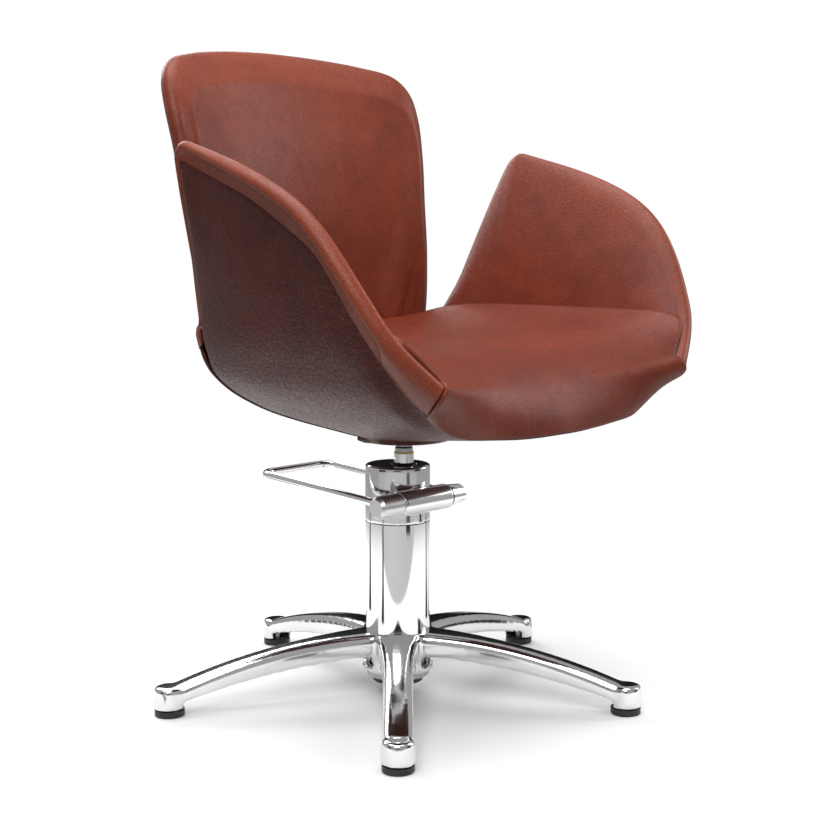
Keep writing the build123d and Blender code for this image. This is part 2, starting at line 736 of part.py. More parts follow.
bucket_cover = combine(
    outer_bowl,
    keep_in=(inside_rims,),
    cut_away=(cover_bowl, notch, core_well, seat_plate, plate_bolts, shell_core),
)
save(side_of(bucket_cover, Keep.TOP), "outer_cover_left")
save(side_of(bucket_cover, Keep.BOTTOM), "outer_cover_right")

rims = combine(outer_bowl, keep_in=(inside_front, rims_above), cut_away=(pad_bowl, inside_rims, notch))
save(side_of(rims, Keep.TOP), "arm_rim_left")
save(side_of(rims, Keep.BOTTOM), "arm_rim_right")

seat_front = combine(outer_bowl, keep_in=(inside_front, seat_space, roll_below), cut_away=(inside_rims,))
save(seat_front, "seat_front")

back_pad = combine(back_layer(0, PAD_DEPTH, BACK_FOOT_Z), keep_in=(back_panel,), cut_away=(shell_core,))
save(back_pad, "back_pad")
back_cover = combine(
    back_layer(PAD_DEPTH + CORE, BACK_THICK, BACK_FOOT_Z),
    keep_in=(back_panel,),
    cut_away=(shell_core,),
)
save(back_cover, "back_cover")
back_rim = combine(back_layer(0, BACK_THICK, BACK_FOOT_Z), keep_in=(back_shape,), cut_away=(back_panel,))
save(back_rim, "back_rim")

save(ring(ROD_Y, 318, 325, 20, SPINDLE_RADIUS + 3), "rod_collar")
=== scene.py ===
import math

import bmesh
import bpy
import numpy as np
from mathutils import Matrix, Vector


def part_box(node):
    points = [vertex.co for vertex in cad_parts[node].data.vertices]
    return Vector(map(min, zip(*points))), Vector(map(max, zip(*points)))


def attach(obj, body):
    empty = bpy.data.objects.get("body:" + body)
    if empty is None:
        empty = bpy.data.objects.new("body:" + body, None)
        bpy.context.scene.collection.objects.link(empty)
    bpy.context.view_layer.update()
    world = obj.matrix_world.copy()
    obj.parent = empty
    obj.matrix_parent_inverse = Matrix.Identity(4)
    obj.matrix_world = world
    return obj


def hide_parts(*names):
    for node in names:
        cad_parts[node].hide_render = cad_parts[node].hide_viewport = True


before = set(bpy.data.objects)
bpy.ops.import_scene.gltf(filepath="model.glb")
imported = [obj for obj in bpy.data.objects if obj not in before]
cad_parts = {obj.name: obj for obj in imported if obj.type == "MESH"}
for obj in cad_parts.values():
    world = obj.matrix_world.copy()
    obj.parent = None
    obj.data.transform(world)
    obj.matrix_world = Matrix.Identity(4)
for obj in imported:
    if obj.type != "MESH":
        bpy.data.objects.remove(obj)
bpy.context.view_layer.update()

MM = 0.001

# ---- places, read from the model's parts, in millimetres ----


def middle(node):
    """Centre of a node's box, in millimetres"""
    low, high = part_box(node)
    return [(a + b) / 2 / MM for a, b in zip(low, high)]


COLUMN_Y = middle("column_tube")[1]
ROD_Y = middle("ram")[1]

# ---- mesh helpers ----


def new_mesh(name, points, faces, smooth=True):
    """Mesh object from points in millimetres"""
    mesh = bpy.data.meshes.new(name)
    mesh.from_pydata([tuple(p) for p in np.asarray(points, float) * MM], [], faces)
    mesh.validate()
    mesh.polygons.foreach_set("use_smooth", [smooth] * len(mesh.polygons))
    piece = bpy.data.objects.new(name, mesh)
    bpy.context.scene.collection.objects.link(piece)
    return piece


def grid_faces(rows, columns, wrap_rows=False, wrap_columns=False, first=0):
    """Faces of a grid of points stored row by row"""
    faces = []
    for i in range(rows if wrap_rows else rows - 1):
        for j in range(columns if wrap_columns else columns - 1):
            i2, j2 = (i + 1) % rows, (j + 1) % columns
            faces.append((
                first + i * columns + j,
                first + i * columns + j2,
                first + i2 * columns + j2,
                first + i2 * columns + j,
            ))
    return faces


def grid_piece(name, grid, **wraps):
    """Mesh from an array of rows x columns x 3"""
    rows, columns = grid.shape[:2]
    return new_mesh(name, grid.reshape(-1, 3), grid_faces(rows, columns, **wraps))


def smooth_curve(points, count, closed=False):
    """Evenly spaced points on a smooth curve through the given ones"""
    points = np.asarray(points, float)
    if closed:
        points = np.vstack([points, points[:1]])
    steps = np.linalg.norm(np.diff(points, axis=0), axis=1)
    knots = np.concatenate([[0], np.cumsum(np.sqrt(steps))])
    slopes = tangents(points, knots, closed)
    fine = np.linspace(0, knots[-1], 40 * len(points))
    dense = hermite(points, slopes, knots, fine)
    run = np.concatenate([[0], np.cumsum(np.linalg.norm(np.diff(dense, axis=0), axis=1))])
    wanted = np.linspace(0, run[-1], count + 1 if closed else count)
    if closed:
        wanted = wanted[:-1]
    return np.stack([np.interp(wanted, run, dense[:, k]) for k in range(dense.shape[1])], 1)


def tangents(points, knots, closed=False):
    """Slope at each point of a curve, from its neighbours"""
    slopes = np.zeros_like(points)
    gaps = np.diff(knots)[:, None]
    chords = np.diff(points, axis=0) / gaps
    slopes[1:-1] = (chords[:-1] * gaps[1:] + chords[1:] * gaps[:-1]) / (gaps[1:] + gaps[:-1])
    if closed:
        slopes[0] = slopes[-1] = (chords[0] + chords[-1]) / 2
    else:
        slopes[0] = 1.5 * chords[0] - 0.5 * slopes[1] if len(points) > 2 else chords[0]
        slopes[-1] = 1.5 * chords[-1] - 0.5 * slopes[-2] if len(points) > 2 else chords[-1]
    return slopes


def hermite(points, slopes, knots, wanted):
    """Cubic curve through points with the given slopes"""
    index = np.clip(np.searchsorted(knots, wanted, side="right") - 1, 0, len(knots) - 2)
    gap = (knots[index + 1] - knots[index])[:, None]
    t = ((wanted - knots[index])[:, None]) / gap
    a = (2 * t**3 - 3 * t**2 + 1) * points[index]
    b = (t**3 - 2 * t**2 + t) * gap * slopes[index]
    c = (-2 * t**3 + 3 * t**2) * points[index + 1]
    d = (t**3 - t**2) * gap * slopes[index + 1]
    return a + b + c + d


def lookup(table, column, at):
    """Smooth value of one column of a table, by its first column"""
    table = np.asarray(table, float)
    at = np.clip(np.asarray(at, float), table[0, 0], table[-1, 0])
    shape = at.shape
    values = table[:, column:column + 1]
    slopes = tangents(values, table[:, 0])
    return hermite(values, slopes, table[:, 0], at.ravel())[:, 0].reshape(shape)


def tube_piece(name, path, radius, sides=24, closed=False, caps=True):
    """Round bar along points; radius is a number or one for each point"""
    path = np.asarray(path, float)
    count = len(path)
    ahead = np.roll(path, -1, 0) - np.roll(path, 1, 0)
    if not closed:
        ahead[0], ahead[-1] = path[1] - path[0], path[-1] - path[-2]
    ahead /= np.linalg.norm(ahead, axis=1)[:, None]
    side = np.cross(ahead[0], (0, 0, 1) if abs(ahead[0][2]) < 0.9 else (1, 0, 0))
    rings = []
    turn = np.linspace(0, 2 * math.pi, sides, endpoint=False)
    radii = np.broadcast_to(np.asarray(radius, float), (count,))
    for i in range(count):
        side = side - ahead[i] * np.dot(side, ahead[i])
        side /= np.linalg.norm(side)
        up = np.cross(ahead[i], side)
        rings.append(path[i] + radii[i] * (np.cos(turn)[:, None] * side + np.sin(turn)[:, None] * up))
    faces = grid_faces(count, sides, wrap_rows=closed, wrap_columns=True)
    points = np.vstack(rings)
    if caps and not closed:
        faces.append(tuple(range(sides))[::-1])
        faces.append(tuple(range((count - 1) * sides, count * sides)))
    return new_mesh(name, points, faces)


# ---- shader maths ----


class Value:
    """A shader socket that adds Math nodes when it is used in an expression"""

    def __init__(self, shader, socket):
        self.shader = shader
        self.socket = socket

    def join(self, operation, *others):
        values = [o.socket if isinstance(o, Value) else o for o in others]
        return self.shader.node("ShaderNodeMath", {"operation": operation}, dict(enumerate(values)))[0]

    def __add__(self, other):
        return self.join("ADD", self, other)

    def __sub__(self, other):
        return self.join("SUBTRACT", self, other)

    def __rsub__(self, other):
        return self.join("SUBTRACT", other, self)

    def __mul__(self, other):
        return self.join("MULTIPLY", self, other)

    def clamped(self, low, high):
        return self.join("MINIMUM", self.join("MAXIMUM", self, low), high)

    def between(self, low, high):
        """0 below low, 1 above high"""
        return ((self - low) * (1 / (high - low))).clamped(0, 1)

    __radd__ = __add__
    __rmul__ = __mul__


class Finish:
    """One material, made of nodes"""

    def __init__(self, name):
        self.material = bpy.data.materials.new(name)
        self.material.use_nodes = True
        self.tree = self.material.node_tree
        self.surface = self.tree.nodes["Principled BSDF"]

    def node(self, kind, settings=None, values=None):
        """Add a node: its settings first, then the values or links of its sockets"""
        made = self.tree.nodes.new(kind)
        for name, value in (settings or {}).items():
            if name == "stops":
                self.set_stops(made.color_ramp, value)
            else:
                setattr(made, name, value)
        for name, value in (values or {}).items():
            socket = made.inputs[name]
            if isinstance(value, Value):
                value = value.socket
            if isinstance(value, bpy.types.NodeSocket):
                self.tree.links.new(value, socket)
            else:
                socket.default_value = value
        return [Value(self, socket) for socket in made.outputs if socket.enabled]

    def set_stops(self, ramp, stops):
        while len(ramp.elements) < len(stops):
            ramp.elements.new(0.5)
        for element, (position, colour) in zip(ramp.elements, stops):
            element.position = position
            element.color = (*colour, 1)

    def place(self):
        """Where the surface point is on the piece at rest, in metres"""
        return self.node("ShaderNodeTexCoord")[3]

    def stretched(self, place, scale):
        return self.node("ShaderNodeMapping", {}, {"Vector": place, "Scale": scale})[0]

    def noise(self, place, scale, detail=4.0, roughness=0.55, distortion=0.0):
        values = {
            "Vector": place, "Scale": scale, "Detail": detail,
            "Roughness": roughness, "Distortion": distortion,
        }
        return self.node("ShaderNodeTexNoise", {}, values)[0]

    def cells(self, place, scale, feature="F1", randomness=1.0):
        values = {"Vector": place, "Scale": scale, "Randomness": randomness}
        return self.node("ShaderNodeTexVoronoi", {"feature": feature}, values)[0]

    def painted(self, name):
        """A value stored on the mesh's points"""
        return self.node("ShaderNodeAttribute", {"attribute_name": name})[2]

    def mix(self, factor, one, two):
        """Colour between two others"""
        values = {0: factor, 6: colour4(one), 7: colour4(two)}
        return self.node("ShaderNodeMix", {"data_type": "RGBA"}, values)[0]

    def bump(self, height, distance, strength=1.0, under=None):
        values = {"Height": height, "Distance": distance, "Strength": strength}
        if under is not None:
            values["Normal"] = under
        return self.node("ShaderNodeBump", {}, values)[0]

    def set(self, **values):
        """Values or links of the surface's sockets, with _ for a space"""
        for name, value in values.items():
            socket = self.surface.inputs[name.replace("_", " ")]
            if isinstance(value, Value):
                self.tree.links.new(value.socket, socket)
            else:
                socket.default_value = value
        return self


def colour4(colour):
    """A colour with its alpha, or the link as it is"""
    return (*colour, 1) if isinstance(colour, tuple) else colour


def metal(name, colour, roughness, grain=400.0, streaks=(1, 1, 1), depth=0.00001, tint=0.9, spread=0.06):
    """Bare or plated metal with faint handling marks"""
    finish = Finish(name)
    place = finish.place()
    smears = finish.noise(place, 14.0, 5.0, 0.6, 0.4)
    marks = finish.noise(finish.stretched(place, streaks), grain, 3.0)
    darker = tuple(c * tint for c in colour)
    shade = finish.mix(smears.between(0.35, 0.7), darker, colour)
    gloss = (smears.between(0.3, 0.75) * spread + marks * (spread * 0.5) + roughness).clamped(0.01, 1)
    finish.set(Metallic=1.0, Base_Color=shade, Roughness=gloss)
    if depth:
        finish.set(Normal=finish.bump(marks, depth, 0.5))
    return finish.material


def plastic(name, colour, roughness, grain=900.0):
    """Moulded plastic or rubber with a fine eroded grain"""
    finish = Finish(name)
    place = finish.place()
    patches = finish.noise(place, 30.0, 3.0)
    texture = finish.noise(place, grain, 2.0)
    dusty = tuple(min(c * 1.9 + 0.006, 1) for c in colour)
    finish.set(
        Base_Color=finish.mix(patches.between(0.4, 0.8), colour, dusty),
        Roughness=(patches * 0.15 + (roughness - 0.05)).clamped(0, 1),
        Normal=finish.bump(texture, 0.00006, 0.6),
    )
    return finish.material


def leather(name, deep, mid, worn_and_lit, grain, depth, roughness, pebble):
    """Upholstery leather: grain cells, hair creases with painted shade in their valleys, mottled dye, and
    edges lightened for wear and as painted highlight
    """
    finish = Finish(name)
    place = finish.place()
    drift = finish.noise(place, 7.0, 4.0, 0.6, 0.6)
    fine_drift = finish.noise(place, 42.0, 4.0, 0.6)
    swell = finish.noise(place, grain * 0.25, 2.0)
    grain_cells = finish.cells(place, grain, "SMOOTH_F1" if pebble else "F1")
    creases = finish.cells(place, grain * 0.55, "DISTANCE_TO_EDGE")
    pores = finish.noise(place, grain * 3.2, 3.0, 0.6)
    valley = 1 - creases.between(0.0, 0.16)
    height = (1 - grain_cells) * (1.0 if pebble else 0.5) + pores * 0.35 + swell * 0.5 - valley * 0.55
    rubbed = finish.painted("rubbed")
    tone = (drift * 0.75 + fine_drift * 0.45 - 0.1).between(0.25, 0.8)
    shade = finish.mix(tone, deep, mid)
    # blend towards the lighter worn colour where the mesh says so: part real wear, part painted highlight
    # on crests and edges
    shade = finish.mix((rubbed * 0.45 + (drift - 0.5) * 0.4).clamped(0, 1), shade, worn_and_lit)
    # crease valleys darkened towards a deeper brown: painted shade
    shade = finish.mix(valley * 0.35, shade, tuple(c * 0.45 for c in deep))
    folds = finish.noise(finish.stretched(place, (5.0, 5.0, 2.0)), 9.0, 3.0, 0.5, 1.2)
    soft = finish.bump(folds, 0.0016, 0.3)
    finish.set(
        Base_Color=shade,
        Roughness=(roughness + (1 - tone) * 0.08 + valley * 0.12 - rubbed * 0.08).clamped(0.2, 1),
        Normal=finish.bump(height, depth, 0.75, soft),
        Specular_IOR_Level=0.26,
        Coat_Weight=0.06,
        Coat_Roughness=0.3,
    )
    return finish.material


CHROME = metal(
    "polished chrome", (0.86, 0.865, 0.88), 0.035, 260.0, depth=0.000004, tint=0.96, spread=0.03,
)
CASTING = metal(
    "polished casting", (0.80, 0.805, 0.815), 0.075, 180.0, depth=0.00002, tint=0.93, spread=0.06,
)
SATIN = metal("satin nickel", (0.74, 0.74, 0.75), 0.30, 700.0, (1, 8, 8), 0.00002)
TURNED = metal("turned steel", (0.47, 0.47, 0.47), 0.24, 500.0, (1, 1, 14), 0.00002)
PUMP_STEEL = metal("pump steel", (0.42, 0.42, 0.43), 0.34, 300.0, (1, 1, 6), 0.00002)
BRONZE = metal("bearing bronze", (0.50, 0.33, 0.14), 0.32, 400.0, (1, 1, 8), 0.00002)
ZINC = metal("zinc plate", (0.50, 0.50, 0.49), 0.36, 350.0)
BLACK = plastic("black moulding", (0.010, 0.010, 0.011), 0.46)
PAINT = plastic("black paint", (0.014, 0.014, 0.015), 0.38, 500.0)
# each leather's last colour is its worn colour, which also paints the highlight on edges and crests
INNER = leather(
    "smooth leather", (0.120, 0.0170, 0.0075), (0.235, 0.040, 0.0165), (0.36, 0.080, 0.034),
    grain=520.0, depth=0.00026, roughness=0.36, pebble=False,
)
OUTER = leather(
    "pebbled leather", (0.040, 0.0050, 0.0028), (0.085, 0.0120, 0.0060), (0.17, 0.034, 0.016),
    grain=250.0, depth=0.0008, roughness=0.34, pebble=True,
)
THREAD = plastic("sewing thread", (0.20, 0.055, 0.035), 0.6, 1500.0)


def beech():
    """Laminated shell: thin glued layers and a fine grain"""
    finish = Finish("laminated beech")
    place = finish.place()
    figure = finish.noise(finish.stretched(place, (40, 4, 40)), 6.0, 6.0, 0.6, 0.8)
    finish.set(
        Base_Color=finish.mix(figure.between(0.3, 0.7), (0.36, 0.22, 0.11), (0.52, 0.36, 0.20)),
        Roughness=(figure * 0.2 + 0.45).clamped(0, 1),
        Normal=finish.bump(figure, 0.0002, 0.5),
    )
    return finish.material


BEECH = beech()


def dress(piece, material):
    """Give a piece its only material"""
    piece.data.materials.clear()
    piece.data.materials.append(material)
    return piece


def store_point_share(piece, values, name="rubbed"):
    """Store a share from 0 to 1 for each point of a piece: the leather's wear and painted highlight, or
    the floor's fade
    """
    layer = piece.data.attributes.new(name, "FLOAT", "POINT")
    layer.data.foreach_set("value", np.asarray(values, np.float32))
    return piece


def smooth_step(t):
    t = np.clip(t, 0, 1)
    return t * t * (3 - 2 * t)


# ---- camera, floor and light ----
CAMERA_AZIMUTH = math.radians(-45)
CAMERA_DISTANCE = 1.9543
CAMERA_HEIGHT = 0.6015
CAMERA_PITCH = math.radians(7.484)
CAMERA_TURN = math.radians(0.809)
FOCAL_SHARE = 1602.9 / 840


def make_camera():
    """Camera at the sitter's right front, a little above the arms"""
    back = Vector((math.sin(CAMERA_AZIMUTH), -math.cos(CAMERA_AZIMUTH), 0))
    ahead = -back
    right = ahead.cross(Vector((0, 0, 1)))
    ahead = ahead * math.cos(CAMERA_TURN) + right * math.sin(CAMERA_TURN)
    ahead = ahead * math.cos(CAMERA_PITCH) - Vector((0, 0, 1)) * math.sin(CAMERA_PITCH)
    data = bpy.data.cameras.new("camera")
    data.sensor_width = 36
    data.lens = 36 * FOCAL_SHARE
    camera = bpy.data.objects.new("camera", data)
    bpy.context.scene.collection.objects.link(camera)
    column = Vector((0, COLUMN_Y * MM, CAMERA_HEIGHT))
    camera.location = column + back * CAMERA_DISTANCE
    camera.rotation_euler = ahead.to_track_quat("-Z", "Y").to_euler()
    bpy.context.scene.camera = camera


def make_light(name, place, towards, size, power, colour=(1, 1, 1)):
    data = bpy.data.lights.new(name, "AREA")
    data.shape = "RECTANGLE"
    data.size, data.size_y = size
    data.energy = power
    data.color = colour
    lamp = bpy.data.objects.new(name, data)
    bpy.context.scene.collection.objects.link(lamp)
    lamp.location = place
    lamp.rotation_euler = (Vector(towards) - Vector(place)).to_track_quat("-Z", "Y").to_euler()
    return lamp


def make_card(name, place, towards, size, shade):
    """Dark card that only reflections see"""
    half_x, half_y = size[0] / 2 / MM, size[1] / 2 / MM
    corners = [(-half_x, -half_y, 0), (half_x, -half_y, 0), (half_x, half_y, 0), (-half_x, half_y, 0)]
    card = new_mesh(name, corners, [(0, 1, 2, 3)])
    card.location = place
    card.rotation_euler = (Vector(towards) - Vector(place)).to_track_quat("-Z", "Y").to_euler()
    finish = Finish(name)
    finish.set(Base_Color=(shade, shade, shade, 1), Roughness=1.0, Specular_IOR_Level=0.0)
    dress(card, finish.material)
    card.visible_camera = False
    card.visible_shadow = False
    card.visible_diffuse = False
    return card


# dark strips on the floor that only the chrome sees: direction in degrees, distance and width in metres
FLOOR_CARDS = [(262, 1.5, 0.30), (-15, 0.85, 0.10), (2, 0.85, 0.05), (172, 0.85, 0.07), (110, 0.9, 0.12)]
FADE_START = 700.0      # distance from the column where the floor begins to fade out
FADE_WIDTH = 700.0


def make_studio():
    """Pale floor that fades out, soft lights, and dark cards for the chrome"""
    rings = np.array([1.0, 300, 500, 700, 800, 900, 1000, 1100, 1200, 1300, 1400])
    distance = np.repeat(rings[:, None], 96, 1)
    around = np.linspace(0, 2 * math.pi, 96, endpoint=False)[None, :]
    disc = np.stack([distance * np.cos(around), distance * np.sin(around) + COLUMN_Y, 0 * distance], 2)
    floor = grid_piece("floor", disc, wrap_columns=True)
    finish = Finish("studio floor")
    tone = finish.noise(finish.place(), 0.6, 2.0)
    finish.set(
        Base_Color=finish.mix(tone.between(0.3, 0.7), (0.90, 0.90, 0.90), (0.93, 0.93, 0.93)),
        Roughness=0.75,
        Specular_IOR_Level=0.2,
        Alpha=1 - finish.painted("faded"),
    )
    dress(floor, finish.material)
    store_point_share(floor, smooth_step((distance - FADE_START) / FADE_WIDTH).ravel(), "faded")
    floor.visible_diffuse = False
    world = bpy.data.worlds.new("studio")
    world.use_nodes = True
    nodes, links = world.node_tree.nodes, world.node_tree.links
    backdrop = nodes["Background"]
    backdrop.inputs["Color"].default_value = (1, 1, 1, 1)
    backdrop.inputs["Strength"].default_value = 1.0
    room = nodes.new("ShaderNodeBackground")
    room.inputs["Color"].default_value = (1.0, 0.98, 0.97, 1)
    room.inputs["Strength"].default_value = 0.40
    seen = nodes.new("ShaderNodeLightPath")
    choose = nodes.new("ShaderNodeMixShader")
    links.new(seen.outputs["Is Camera Ray"], choose.inputs[0])
    links.new(room.outputs[0], choose.inputs[1])
    links.new(backdrop.outputs[0], choose.inputs[2])
    links.new(choose.outputs[0], nodes["World Output"].inputs["Surface"])
    bpy.context.scene.world = world
    make_light("overhead", (-0.2, 0.1, 2.7), (0, 0, 0.4), (2.2, 2.2), 62)
    make_light("key", (-1.9, -1.5, 2.2), (0, 0, 0.5), (1.3, 1.3), 40)
    make_light("right_soft", (2.3, -1.2, 1.5), (0, 0, 0.4), (1.0, 1.8), 24)
    make_light("back_rim", (0.6, 2.2, 1.7), (0, 0, 0.6), (1.8, 0.9), 26)
    make_card("card_left", (-2.3, 0.4, 0.45), (0, 0, 0.45), (1.1, 0.9), 0.01)
    make_card("card_right", (1.2, -2.2, 0.45), (0, 0, 0.45), (1.0, 0.9), 0.01)
    make_card("card_front", (-1.9, -1.9, 0.28), (0, 0, 0.28), (1.3, 0.5), 0.01)
    make_card("card_back", (1.7, 1.7, 0.62), (0, 0, 0.62), (2.6, 1.1), 0.01)
    tone = make_card("floor_tone", (-1.05, -1.05, 0.0012), (-1.05, -1.05, 1), (3.4, 1.9), 0.42)
    tone.rotation_euler = (0, 0, math.radians(135))
    for number, (angle, reach, wide) in enumerate(FLOOR_CARDS):
        turn = math.radians(angle)
        spot = (reach * math.cos(turn), COLUMN_Y * MM + reach * math.sin(turn), 0.0015)
        card = make_card(f"floor_card_{number}", spot, (spot[0], spot[1], 1), (0.9, wide), 0.01)
        card.rotation_euler = (0, 0, turn)
    view = bpy.context.scene.view_settings
    view.view_transform = "Standard"
    view.exposure = 0.0


make_camera()
make_studio()

# ---- the shell's outside ----
# level cuts: height, centre along Y from the ram, half width, half length, squareness
BOWL = [
    (320, 0, 2, 2, 2.0),
    (321, 0, 22, 22, 2.0),
    (330, -6, 56, 60, 2.0),
    (340, -24, 90, 116, 2.2),
    (350, -50, 122, 176, 2.5),
    (362, -78, 156, 232, 2.8),
    (382, -105, 194, 288, 3.1),
    (405, -115, 224, 312, 3.2),
    (440, -120, 246, 327, 3.2),
    (500, -120, 263, 349, 3.0),
    (580, -120, 276, 400, 2.9),
    (700, -120, 284, 485, 2.8),
]
BACK_THICK = 38.0
BACK_ROUND = 900.0      # twice the radius of the back in plan
# height and depth of the back's middle surface at its centre line
BACK_LEAN = [(430, 186), (490, 189), (545, 194), (608, 205), (671, 216), (745, 236), (805, 254)]
# half width of the back by height, up to the rounded corner, then the top edge
BACK_SIDE = [
    (182, 448), (187, 490), (191, 545), (196, 610), (201, 675), (204, 722), (200, 754),
    (184, 774), (142, 785), (75, 793), (0, 796),
]


def bowl_radius(angle, z):
    """Distance of the outside from the ram's axis at an angle and a height"""
    low, high = np.zeros_like(z), np.full_like(z, 700.0)
    centre, half_width = lookup(BOWL, 1, z), lookup(BOWL, 2, z)
    half_length, power = lookup(BOWL, 3, z), lookup(BOWL, 4, z)
    for _ in range(40):
        guess = (low + high) / 2
        x, y = guess * np.cos(angle), guess * np.sin(angle) - centre
        ahead = y < 0
        across = np.abs(x) / half_width
        along = np.abs(y) / half_length
        side = across**power + along**power
        front = across / (1 - 0.10 * np.minimum(along, 1) ** 2.2)
        inside = np.where(ahead & (z > 395), np.maximum(front, along) < 1, side < 1)
        low, high = np.where(inside, guess, low), np.where(inside, high, guess)
    return low


def back_point(x, z, depth):
    """Point on the back, depth in millimetres behind its front face"""
    middle_y = lookup(BACK_LEAN, 1, z)
    y = middle_y - x * x / BACK_ROUND - BACK_THICK / 2 + depth
    return np.stack([x, y, z], -1)


def placed(points):
    """From the ram's axis to the chair's own frame"""
    moved = np.array(points, float)
    moved[..., 1] += ROD_Y
    return moved


def mirrored(points):
    flipped = np.array(points, float)
    flipped[..., 0] *= -1
    return flipped


# ---- more shell outlines, from the ram's axis, all on the left side ----
# inner shoulder of the arm's rim: up the rear edge to the tip, then over the crest and down the front
RIM_REAR = [
    (196, 122, 462), (207, 116, 482), (218, 109, 505), (232, 102, 540), (246, 94, 578),
    (260, 85, 616), (273, 75, 652), (279, 69, 668),
]
CREST_TIP = (279, 60, 672)         # rear corner of the arm
CREST_WIDE = (284, 630)            # half width and height where the rims stand furthest apart
CREST_END = (205, -254, 423)       # where the rim runs out under the seat's front corner
SHOULDER = (-163, 609)             # where the arm's top and front lines would meet, seen from the side
SHOULDER_PULL = 2.7                # how closely the crest follows that corner
FRONT_SQUARENESS = 1.65            # of the rim's outline seen from the front


def rim_crest(count=18):
    """Crest of the rim: a conic seen from the side, a quarter of a squared ellipse seen from the front"""
    t = np.linspace(0, 1, count)
    shares = np.stack([(1 - t) ** 2, 2 * SHOULDER_PULL * t * (1 - t), t ** 2])
    shares /= shares.sum(0)
    y, z = (shares.T @ np.array([CREST_TIP[1:], SHOULDER, CREST_END[1:]], float)).T
    half_width, wide_height = CREST_WIDE
    drop = np.clip((wide_height - z) / (wide_height - CREST_END[2]), 0, 1)
    swell = (1 - drop ** FRONT_SQUARENESS) ** (1 / FRONT_SQUARENESS)
    rise = np.clip((z - wide_height) / (CREST_TIP[2] - wide_height), 0, 1)
    x = CREST_END[0] + (half_width - CREST_END[0]) * swell + (CREST_TIP[0] - half_width) * rise
    return [tuple(point) for point in np.stack([x, y, z], 1)]


RIM_CREST = rim_crest()
# outer seam of the arm, then of the seat's front, round to its middle
SEAM_REAR = [(x + 5, y - 5, z - 2) for x, y, z in RIM_REAR]
SEAM_CREST = [
    (277, 44, 648), (277, -2, 632), (276, -52, 612), (273, -96, 587), (270, -138, 560), (264, -164, 525),
    (255, -186, 486), (240, -202, 451), (219, -213, 419), (203, -219, 402), (187, -223, 390),
]
SEAM_FRONT = [
    (187, -223, 390), (170, -229, 375), (144, -233, 363), (95, -236, 356), (50, -240, 353), (0, -243, 353),
]
# line where the inner face of the arm is sewn to the seat, from the notch to the front
ARM_FOOT = [
    (192, 124, 464), (202, 84, 471), (210, 40, 473), (219, -40, 474), (226, -110, 474),
    (232, -165, 474), (239, -205, 473), (244, -234, 466),
]
TIP_SHARE = 0.26       # share of the arm's foot that the rear edge's columns take
REAR_COUNT = 60
CREST_COUNT = 190
# thickness of the rim by share of the outline, from the notch to the front
RIM_THICK = [(0, 6), (0.2, 7), (0.27, 9), (0.4, 15), (0.6, 17), (0.85, 17), (1.0, 15)]
ARM_CENTRE = np.array([240.0, -50.0, 540.0])


def joined_curve(first, second, first_count, second_count, soften=2):
    """Two runs of points as one smooth line, with a set number of points in each"""
    line = np.vstack([smooth_curve(first, first_count)[:-1], smooth_curve(second, second_count)])
    corner = first_count - 1
    for _ in range(soften):
        for i in range(corner - 5, corner + 5):
            line[i] = line[i] * 0.4 + (line[i - 1] + line[i + 1]) * 0.3
    return line


def skin_piece(name, grid, at, facing, thickness, rubbed=None):
    """Leather layer from a grid of points; `facing` is roughly its outward direction at `at`"""
    i, j = at
    across = np.cross(grid[i, j + 1] - grid[i, j], grid[i + 1, j] - grid[i, j])
    piece = grid_piece(name, grid)
    if np.dot(across, facing) > 0:
        piece.data.flip_normals()
    if rubbed is None:
        rubbed = np.zeros(grid.shape[:2])
    store_point_share(piece, rubbed.ravel())
    weld = bmesh.new()
    weld.from_mesh(piece.data)
    bmesh.ops.remove_doubles(weld, verts=weld.verts, dist=0.00005)
    bmesh.ops.dissolve_degenerate(weld, edges=weld.edges, dist=0.00001)
    weld.to_mesh(piece.data)
    weld.free()
    layer = piece.modifiers.new("thickness", "SOLIDIFY")
    layer.thickness = thickness * MM
    layer.offset = -1
    settle(piece)
    return piece


def settle(piece):
    """Apply all modifiers to a piece's mesh"""
    bpy.context.view_layer.update()
    shaped = piece.evaluated_get(bpy.context.evaluated_depsgraph_get())
    mesh = bpy.data.meshes.new_from_object(shaped)
    piece.modifiers.clear()
    piece.data = mesh
    mesh.polygons.foreach_set("use_smooth", [True] * len(mesh.polygons))


def stitch_row(name, lines, pitch=4.4, length=3.0, width=0.75, out=None):
    """Row of sewn stitches along lines of (points, outward directions)"""
    points, faces = [], []
    for line, normals in lines:
        run = np.concatenate([[0], np.cumsum(np.linalg.norm(np.diff(line, axis=0), axis=1))])
        for start in np.arange(pitch, run[-1] - pitch, pitch):
            ends = np.array([start - length / 2, start, start + length / 2])
            place = np.stack([np.interp(ends, run, line[:, k]) for k in range(3)], 1)
            up = np.array([np.interp(start, run, normals[:, k]) for k in range(3)])
            up /= np.linalg.norm(up)
            ahead = place[2] - place[0]
            ahead /= np.linalg.norm(ahead)
            side = np.cross(up, ahead)
            first = len(points)
            for t, swell in ((-1.0, 0.35), (-0.6, 0.85), (0, 1.0), (0.6, 0.85), (1.0, 0.35)):
                centre = place[1] + ahead * t * length / 2 + up * (0.15 + 0.35 * (1 - t * t))
                for k in range(6):
                    angle = k * math.pi / 3
                    ring = math.cos(angle) * side + math.sin(angle) * up
                    points.append(centre + ring * width * swell)
            faces += grid_faces(5, 6, wrap_columns=True, first=first)
            faces.append(tuple(first + k for k in range(6))[::-1])
            faces.append(tuple(first + 24 + k for k in range(6)))
    return dress(new_mesh(name, points, faces), THREAD)


